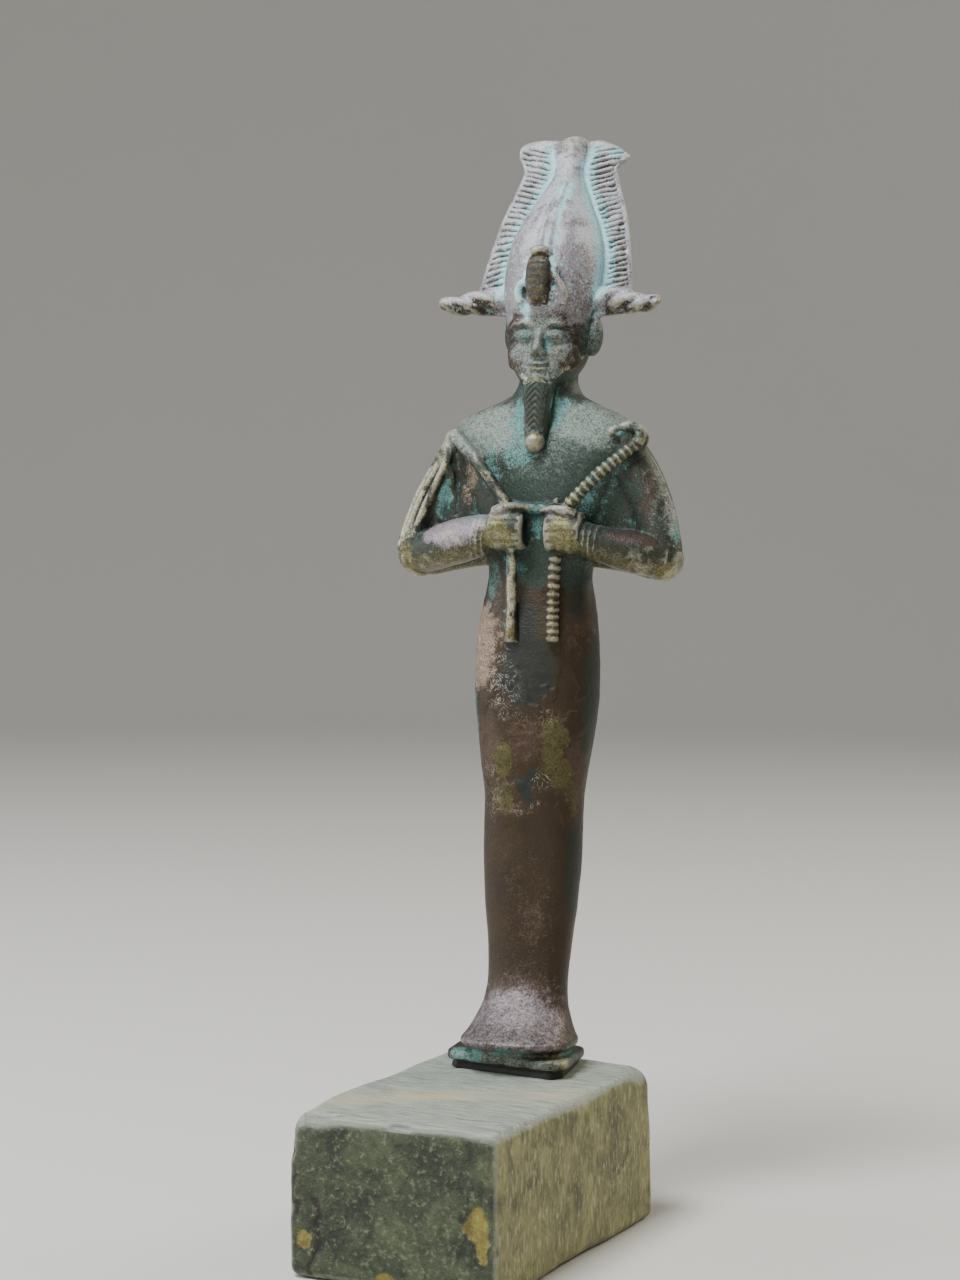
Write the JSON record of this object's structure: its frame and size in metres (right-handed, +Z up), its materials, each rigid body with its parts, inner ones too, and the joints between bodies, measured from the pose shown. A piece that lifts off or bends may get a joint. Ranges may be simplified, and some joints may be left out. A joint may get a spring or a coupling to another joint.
{
  "type": "osiris statue",
  "caption": "Cast bronze figure of Osiris, wrapped as a mummy with crook, flail and feathered crown, standing on a worn stone block.",
  "frame": {"origin": "centre of the stone block's underside, on the surface that it stands on", "axes": "+Z up, -Y out of the block's narrow front face, towards which the figure roughly looks, +X to the figure's left"},
  "size_m": [0.0649, 0.098, 0.2425],
  "materials": {
    "bronze": "old patinated bronze: brown to grey-mauve, with turquoise in the hollows and olive brass where it is worn",
    "wax": "dark mounting wax or cement, dull",
    "stone": "rubbed dark grey-green stone with paler worn top and ochre chips"
  },
  "bodies": {
    "root": {"osiris_figure": "bronze", "mounting_wax": "wax", "stone_block": "stone"}
  },
  "joints": []
}
